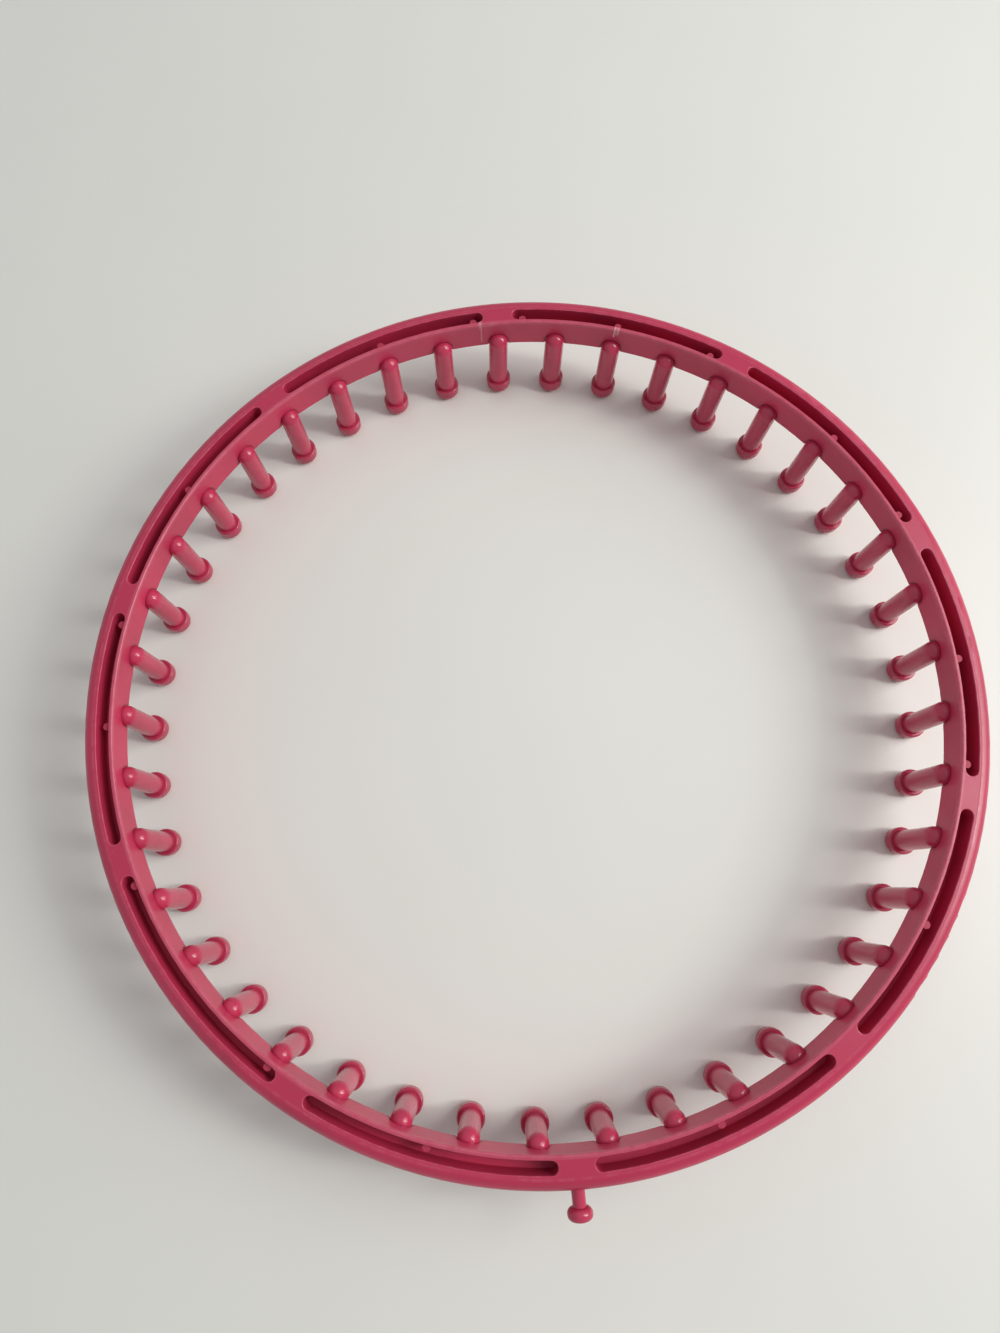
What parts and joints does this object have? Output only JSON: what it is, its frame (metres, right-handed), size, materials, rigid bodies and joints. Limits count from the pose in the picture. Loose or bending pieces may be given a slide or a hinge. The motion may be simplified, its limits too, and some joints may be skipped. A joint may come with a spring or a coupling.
{
  "type": "round knitting loom",
  "caption": "Round knitting loom: a slotted plastic ring carrying headed pegs around its inner wall and a small anchor peg on its outer wall.",
  "frame": {"origin": "on the axis of the ring, in the plane of the ends of the peg heads", "axes": "+Z along the ring's axis from the peg heads towards the slotted face; the anchor peg points along -Y and one peg stands at +Y"},
  "size_m": [0.29, 0.2989, 0.0368],
  "materials": {
    "ring_plastic": "satin moulded polypropylene, raspberry pink",
    "peg_plastic": "gloss moulded plastic, raspberry pink"
  },
  "bodies": {
    "root": {"ring": "ring_plastic", "peg_01": "peg_plastic", "peg_02": "peg_plastic", "peg_03": "peg_plastic", "peg_04": "peg_plastic", "peg_05": "peg_plastic", "peg_06": "peg_plastic", "peg_07": "peg_plastic", "peg_08": "peg_plastic", "peg_09": "peg_plastic", "peg_10": "peg_plastic", "peg_11": "peg_plastic", "peg_12": "peg_plastic", "peg_13": "peg_plastic", "peg_14": "peg_plastic", "peg_15": "peg_plastic", "peg_16": "peg_plastic", "peg_17": "peg_plastic", "peg_18": "peg_plastic", "peg_19": "peg_plastic", "peg_20": "peg_plastic", "peg_21": "peg_plastic", "peg_22": "peg_plastic", "peg_23": "peg_plastic", "peg_24": "peg_plastic", "peg_25": "peg_plastic", "peg_26": "peg_plastic", "peg_27": "peg_plastic", "peg_28": "peg_plastic", "peg_29": "peg_plastic", "peg_30": "peg_plastic", "peg_31": "peg_plastic", "peg_32": "peg_plastic", "peg_33": "peg_plastic", "peg_34": "peg_plastic", "peg_35": "peg_plastic", "peg_36": "peg_plastic", "peg_37": "peg_plastic", "peg_38": "peg_plastic", "peg_39": "peg_plastic", "peg_40": "peg_plastic", "peg_41": "peg_plastic", "anchor_peg": "peg_plastic"}
  },
  "joints": []
}
